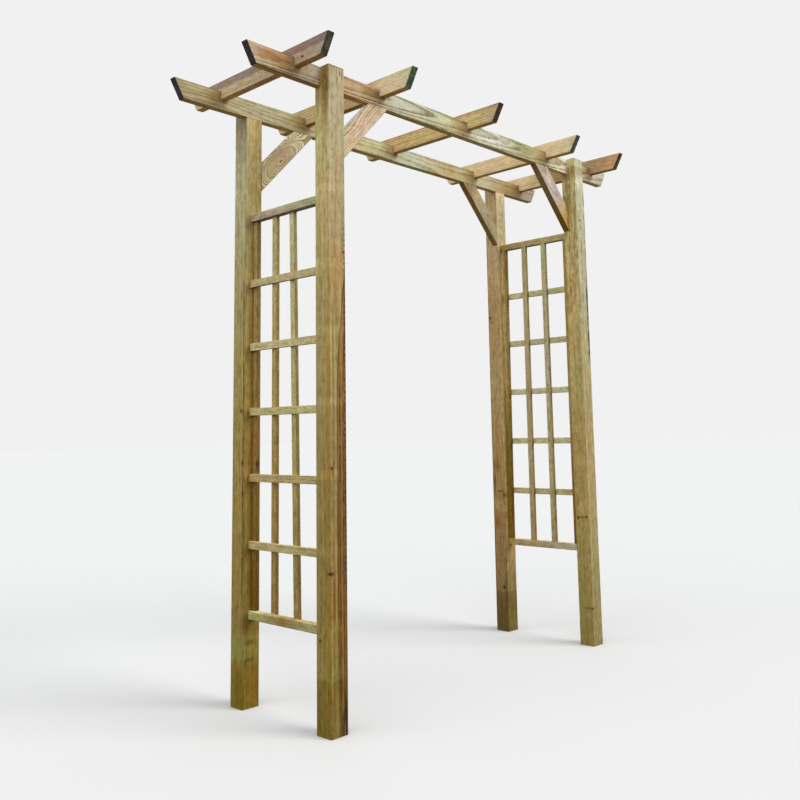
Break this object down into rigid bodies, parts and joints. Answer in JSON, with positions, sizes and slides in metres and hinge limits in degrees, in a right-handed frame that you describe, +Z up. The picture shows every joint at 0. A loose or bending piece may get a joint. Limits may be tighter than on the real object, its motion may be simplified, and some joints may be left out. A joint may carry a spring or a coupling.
{
  "type": "garden arch",
  "caption": "Flat-topped timber garden arch with trellis side panels, knee braces, long beams and short rafters halved over them, all with undercut ends.",
  "frame": {"origin": "on the ground, in the middle of the beams along X and of the rafters along Y", "axes": "+X along the beams from left to right seen from the front, +Y from the front to the rear, +Z up"},
  "size_m": [2.224, 0.814, 2.298],
  "materials": {
    "post_timber": "pressure-treated softwood, planed, green-brown",
    "rail_timber": "pressure-treated softwood, planed, yellow-green with brown figure",
    "batten_timber": "pressure-treated softwood, planed, green-brown"
  },
  "bodies": {
    "root": {"post_front_left": "post_timber", "post_front_right": "post_timber", "post_rear_left": "post_timber", "post_rear_right": "post_timber", "beam_front": "rail_timber", "beam_rear": "rail_timber", "rafter_1": "rail_timber", "rafter_2": "rail_timber", "rafter_3": "rail_timber", "rafter_4": "rail_timber", "rafter_5": "rail_timber", "brace_front_left": "rail_timber", "brace_front_right": "rail_timber", "brace_rear_left": "rail_timber", "brace_rear_right": "rail_timber", "trellis_left_top_rail": "batten_timber", "trellis_left_bottom_rail": "batten_timber", "trellis_left_front_stile": "batten_timber", "trellis_left_rear_stile": "batten_timber", "trellis_left_lattice": "batten_timber", "trellis_right_top_rail": "batten_timber", "trellis_right_bottom_rail": "batten_timber", "trellis_right_front_stile": "batten_timber", "trellis_right_rear_stile": "batten_timber", "trellis_right_lattice": "batten_timber"}
  },
  "joints": []
}
